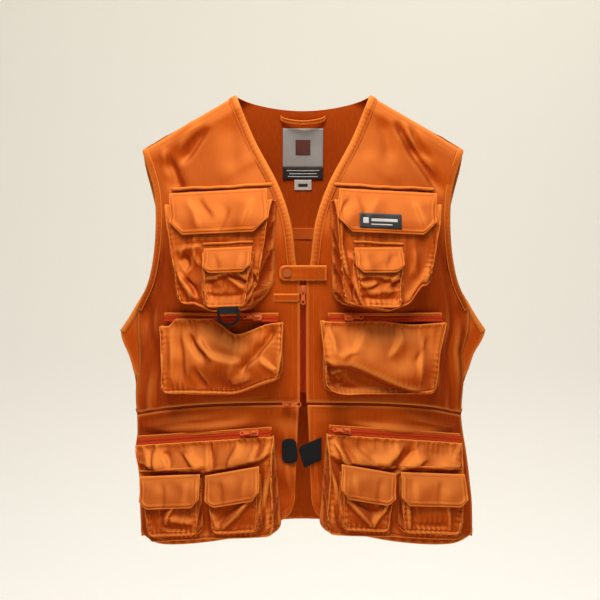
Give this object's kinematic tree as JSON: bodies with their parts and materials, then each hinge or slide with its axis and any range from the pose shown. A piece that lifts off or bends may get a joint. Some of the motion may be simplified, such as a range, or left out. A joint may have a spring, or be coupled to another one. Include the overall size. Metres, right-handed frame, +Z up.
{
  "type": "utility vest",
  "caption": "Sleeveless zip-front field vest in blaze orange cotton with flapped chest pockets, zipped waist and skirt pockets, tool ring and hanger loop.",
  "frame": {"origin": "midway between the neck ends of the two shoulder seams, where a coat hanger carries the vest", "axes": "+Z up, +X towards the wearer's left, -Y out of the chest"},
  "size_m": [0.5116, 0.1699, 0.6394],
  "materials": {
    "orange_cotton": "matt twill",
    "zip_tape": "matt woven tape",
    "zip_metal": "painted",
    "black_webbing": "matt",
    "black_plastic": "gloss",
    "label_satin": "satin"
  },
  "bodies": {
    "back": {"back_panel": "orange_cotton", "back_skirt": "orange_cotton", "waist_zip_back": "zip_tape", "hanger_loop": "orange_cotton", "neck_label": "label_satin", "shoulder_left": "orange_cotton", "shoulder_right": "orange_cotton"},
    "front_left": {"front_panel_left": "orange_cotton", "front_skirt_left": "orange_cotton", "front_zip_tape_left": "zip_tape", "waist_zip_left": "zip_tape", "chest_pocket_left": "orange_cotton", "pen_pocket_left": "orange_cotton", "mid_pocket_left": "orange_cotton", "mid_zip_tape_left": "zip_tape", "cargo_pocket_left": "orange_cotton", "cargo_zip_tape_left": "zip_tape", "cargo_inner_pouch_left": "orange_cotton", "cargo_outer_pouch_left": "orange_cotton"},
    "chest_flap_left": {"chest_flap_left": "orange_cotton", "chest_label": "black_webbing"},
    "pen_flap_left": {"pen_flap_left": "orange_cotton"},
    "mid_zip_left_slider": {"mid_zip_left_slider": "zip_metal"},
    "mid_zip_left_pull": {"mid_zip_left_pull": "zip_metal"},
    "cargo_zip_left_slider": {"cargo_zip_left_slider": "zip_metal"},
    "cargo_zip_left_pull": {"cargo_zip_left_pull": "zip_metal"},
    "cargo_inner_flap_left": {"cargo_inner_flap_left": "orange_cotton"},
    "cargo_outer_flap_left": {"cargo_outer_flap_left": "orange_cotton"},
    "closure_tab_left": {"closure_tab_left": "black_webbing"},
    "front_right": {"front_panel_right": "orange_cotton", "front_skirt_right": "orange_cotton", "front_zip_tape_right": "zip_tape", "waist_zip_right": "zip_tape", "chest_pocket_right": "orange_cotton", "pen_pocket_right": "orange_cotton", "mid_pocket_right": "orange_cotton", "mid_zip_tape_right": "zip_tape", "cargo_pocket_right": "orange_cotton", "cargo_zip_tape_right": "zip_tape", "cargo_inner_pouch_right": "orange_cotton", "cargo_outer_pouch_right": "orange_cotton", "d_ring_webbing": "black_webbing", "snap_stud": "zip_metal", "rod_loop": "orange_cotton"},
    "chest_flap_right": {"chest_flap_right": "orange_cotton"},
    "pen_flap_right": {"pen_flap_right": "orange_cotton"},
    "mid_zip_right_slider": {"mid_zip_right_slider": "zip_metal"},
    "mid_zip_right_pull": {"mid_zip_right_pull": "zip_metal"},
    "cargo_zip_right_slider": {"cargo_zip_right_slider": "zip_metal"},
    "cargo_zip_right_pull": {"cargo_zip_right_pull": "zip_metal"},
    "cargo_inner_flap_right": {"cargo_inner_flap_right": "orange_cotton"},
    "cargo_outer_flap_right": {"cargo_outer_flap_right": "orange_cotton"},
    "closure_tab_right": {"closure_tab_right": "black_webbing"},
    "d_ring": {"d_ring": "black_plastic"},
    "front_tab": {"front_tab": "orange_cotton", "snap_cap": "orange_cotton"},
    "front_zip_slider": {"front_zip_slider": "zip_metal"},
    "front_zip_pull": {"front_zip_pull": "zip_metal"},
    "waist_zip_slider": {"waist_zip_slider": "zip_metal"},
    "waist_zip_pull": {"waist_zip_pull": "zip_metal"}
  },
  "joints": [
    {"name": "open_front_right", "type": "hinge", "parent": "back", "child": "front_right", "pos_m": [-0.24, 0, -0.36], "axis": [0, 0, -1], "range_deg": [0, 30]},
    {"name": "lift_chest_flap_right", "type": "hinge", "parent": "front_right", "child": "chest_flap_right", "pos_m": [-0.11528, -0.05791, -0.13831], "axis": [-0.9634, 0.2662, -0.0318], "range_deg": [0, 110]},
    {"name": "lift_pen_flap_right", "type": "hinge", "parent": "front_right", "child": "pen_flap_right", "pos_m": [-0.1086, -0.08466, -0.21866], "axis": [-0.9634, 0.2662, -0.0318], "range_deg": [0, 105]},
    {"name": "lift_cargo_inner_flap_right", "type": "hinge", "parent": "front_right", "child": "cargo_inner_flap_right", "pos_m": [-0.09742, -0.08742, -0.52764], "axis": [-0.9377, 0.3362, -0.0874], "range_deg": [0, 105]},
    {"name": "lift_cargo_outer_flap_right", "type": "hinge", "parent": "front_right", "child": "cargo_outer_flap_right", "pos_m": [-0.18079, -0.05752, -0.53642], "axis": [-0.9377, 0.3362, -0.0874], "range_deg": [0, 105]},
    {"name": "run_mid_zip_right", "type": "slide", "parent": "front_right", "child": "mid_zip_right_slider", "axis": [-0.9635, 0.2677, -0.0001], "range_m": [-0.02, 0.125]},
    {"name": "swing_mid_zip_right_pull", "type": "hinge", "parent": "mid_zip_right_slider", "child": "mid_zip_right_pull", "pos_m": [-0.06391, -0.0859, -0.31464], "axis": [0.0952, 0.3429, 0.9346], "range_deg": [0, 160]},
    {"name": "run_cargo_zip_right", "type": "slide", "parent": "front_right", "child": "cargo_zip_right_slider", "axis": [-0.9377, 0.3362, -0.0874], "range_m": [-0.008, 0.15]},
    {"name": "swing_cargo_zip_right_pull", "type": "hinge", "parent": "cargo_zip_right_slider", "child": "cargo_zip_right_pull", "pos_m": [-0.0681, -0.08991, -0.4742], "axis": [0.0516, 0.3837, 0.922], "range_deg": [0, 160]},
    {"name": "lift_closure_tab_right", "type": "hinge", "parent": "front_right", "child": "closure_tab_right", "pos_m": [-0.0295, -0.07828, -0.5], "axis": [0, 0, -1], "range_deg": [0, 80]},
    {"name": "open_front_left", "type": "hinge", "parent": "back", "child": "front_left", "pos_m": [0.24, 0, -0.36], "axis": [0, 0, 1], "range_deg": [0, 30]},
    {"name": "lift_chest_flap_left", "type": "hinge", "parent": "front_left", "child": "chest_flap_left", "pos_m": [0.11528, -0.05791, -0.13831], "axis": [-0.9634, -0.2662, 0.0318], "range_deg": [0, 110]},
    {"name": "lift_pen_flap_left", "type": "hinge", "parent": "front_left", "child": "pen_flap_left", "pos_m": [0.1086, -0.08466, -0.21866], "axis": [-0.9634, -0.2662, 0.0318], "range_deg": [0, 105]},
    {"name": "lift_cargo_inner_flap_left", "type": "hinge", "parent": "front_left", "child": "cargo_inner_flap_left", "pos_m": [0.08978, -0.08951, -0.52448], "axis": [-0.9416, -0.326, 0.0843], "range_deg": [0, 105]},
    {"name": "lift_cargo_outer_flap_left", "type": "hinge", "parent": "front_left", "child": "cargo_outer_flap_left", "pos_m": [0.1735, -0.06052, -0.53298], "axis": [-0.9416, -0.326, 0.0843], "range_deg": [0, 105]},
    {"name": "run_mid_zip_left", "type": "slide", "parent": "front_left", "child": "mid_zip_left_slider", "axis": [0.9635, 0.2677, -0.0001], "range_m": [-0.02, 0.125]},
    {"name": "swing_mid_zip_left_pull", "type": "hinge", "parent": "mid_zip_left_slider", "child": "mid_zip_left_pull", "pos_m": [0.06391, -0.0859, -0.31464], "axis": [0.0952, -0.3429, -0.9346], "range_deg": [0, 160]},
    {"name": "run_cargo_zip_left", "type": "slide", "parent": "front_left", "child": "cargo_zip_left_slider", "axis": [0.9416, 0.326, -0.0843], "range_m": [-0.008, 0.15]},
    {"name": "swing_cargo_zip_left_pull", "type": "hinge", "parent": "cargo_zip_left_slider", "child": "cargo_zip_left_pull", "pos_m": [0.06028, -0.09174, -0.47113], "axis": [-0.0502, 0.3833, 0.9223], "range_deg": [0, 160]},
    {"name": "lift_closure_tab_left", "type": "hinge", "parent": "front_left", "child": "closure_tab_left", "pos_m": [0.0255, -0.0783, -0.5], "axis": [0, 0, 1], "range_deg": [0, 80]},
    {"name": "swing_d_ring", "type": "hinge", "parent": "front_right", "child": "d_ring", "pos_m": [-0.1024, -0.11023, -0.30611], "axis": [-0.9634, 0.2662, -0.0318], "range_deg": [0, 140]},
    {"name": "lift_front_tab", "type": "hinge", "parent": "front_left", "child": "front_tab", "pos_m": [0.03, -0.07912, -0.254], "axis": [0, 0, 1], "range_deg": [0, 90]},
    {"name": "run_front_zip", "type": "slide", "parent": "front_left", "child": "front_zip_slider", "axis": [0, 0, -1], "range_m": [-0.005, 0.128]},
    {"name": "swing_front_zip_pull", "type": "hinge", "parent": "front_zip_slider", "child": "front_zip_pull", "pos_m": [0, -0.08005, -0.277], "axis": [-1, 0, 0], "range_deg": [0, 150]},
    {"name": "run_waist_zip", "type": "slide", "parent": "front_right", "child": "waist_zip_slider", "axis": [-0.9913, 0.1298, -0.0215], "range_m": [-0.004, 0.09]},
    {"name": "swing_waist_zip_pull", "type": "hinge", "parent": "waist_zip_slider", "child": "waist_zip_pull", "pos_m": [-0.023, -0.08499, -0.4362], "axis": [0.0213, -0.0028, -0.9998], "range_deg": [0, 150]}
  ],
  "couplings": [
    {"joint": "open_front_left", "follows": "open_front_right", "ratio": 1}
  ]
}
